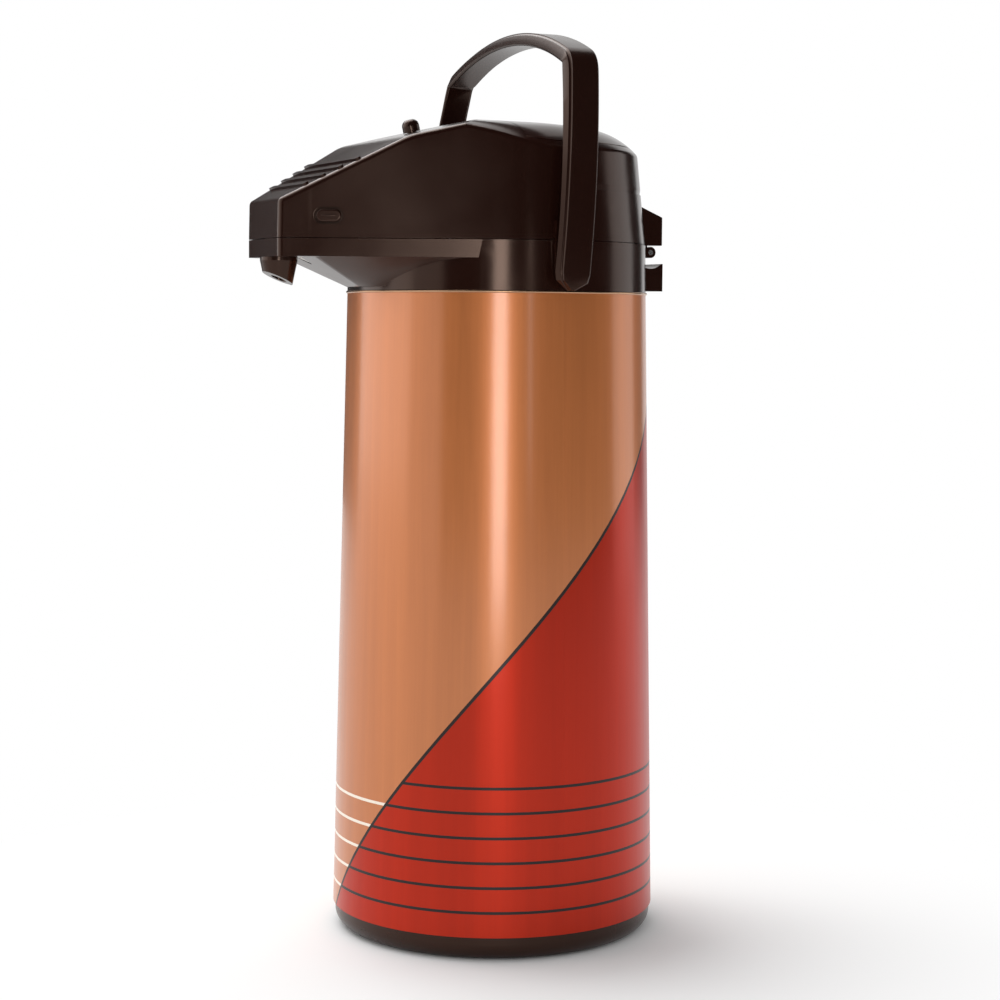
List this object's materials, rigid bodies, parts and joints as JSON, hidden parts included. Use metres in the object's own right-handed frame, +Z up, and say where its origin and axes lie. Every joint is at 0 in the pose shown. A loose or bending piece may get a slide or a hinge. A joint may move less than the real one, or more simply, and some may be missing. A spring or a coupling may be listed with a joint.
{
  "type": "airpot",
  "caption": "Pump-top vacuum airpot: tapered metal casing over a double glass liner, hinged lid with a pouring nose and push plate, and a swinging bail handle.",
  "frame": {"origin": "middle of the foot's resting face, on the casing's axis", "axes": "+Z up along the casing's axis, -Y towards the spout, +X to the right when the pot is seen from above with the spout pointing down the page"},
  "size_m": [0.1604, 0.1941, 0.415],
  "materials": {
    "gloss_brown": "very dark brown moulded plastic, high gloss",
    "casing_lacquer": "satin metallic lacquer, tan above and red below a diagonal line",
    "silvered_glass": "silvered vacuum glass",
    "rubber": "pale silicone rubber",
    "steel": "plain steel",
    "inner_plastic": "off-white moulded plastic",
    "soft_tube": "translucent silicone tube",
    "bellows_plastic": "soft translucent plastic"
  },
  "bodies": {
    "pot": {"base_ring": "gloss_brown", "base_cap": "inner_plastic", "casing": "casing_lacquer", "liner_outer_glass": "silvered_glass", "liner_inner_bowl": "silvered_glass", "liner_inner_wall": "silvered_glass", "liner_inner_shoulder": "silvered_glass", "liner_cushion": "rubber", "neck_gasket": "rubber", "collar": "gloss_brown", "hinge_pin": "steel", "dip_tube": "inner_plastic", "tube_elbow": "inner_plastic", "pour_tube": "soft_tube", "spout_head": "inner_plastic", "spout_nozzle": "gloss_brown"},
    "lid": {"lid_housing": "gloss_brown", "lid_inner_plate": "inner_plastic", "lid_screws": "steel", "lid_seal": "rubber", "bellows": "bellows_plastic", "return_spring": "steel", "outlet_valve": "rubber", "handle_pivot_left": "steel", "handle_pivot_right": "steel"},
    "pump": {"push_plate": "gloss_brown", "plunger_disc": "inner_plastic", "intake_valve": "rubber"},
    "lock": {"lock_knob": "gloss_brown", "lock_slider": "inner_plastic"},
    "button_left": {"release_button_left": "gloss_brown"},
    "button_right": {"release_button_right": "gloss_brown"},
    "carry_handle": {"handle": "gloss_brown"}
  },
  "joints": [
    {"name": "lid_open", "type": "hinge", "parent": "pot", "child": "lid", "pos_m": [0, 0.0725, 0.3148], "axis": [-1, 0, 0], "range_deg": [0, 75]},
    {"name": "pump_press", "type": "slide", "parent": "lid", "child": "pump", "axis": [0, 0, -1], "range_m": [0, 0.02], "stiffness_N_per_m": 400, "springref_m": -0.005, "deforming": ["bellows", "return_spring"]},
    {"name": "lock_slide", "type": "slide", "parent": "lid", "child": "lock", "axis": [0, -0.972, -0.2351], "range_m": [-0.007, 0]},
    {"name": "button_left_press", "type": "slide", "parent": "lid", "child": "button_left", "axis": [0.8981, 0.4399, 0], "range_m": [0, 0.0025], "stiffness_N_per_m": 600, "springref_m": -0.001},
    {"name": "button_right_press", "type": "slide", "parent": "lid", "child": "button_right", "axis": [-0.8981, 0.4399, 0], "range_m": [0, 0.0025], "stiffness_N_per_m": 600, "springref_m": -0.001},
    {"name": "handle_swing", "type": "hinge", "parent": "lid", "child": "carry_handle", "pos_m": [0, 0, 0.3048], "axis": [1, 0, 0], "range_deg": [-84, 55]}
  ]
}
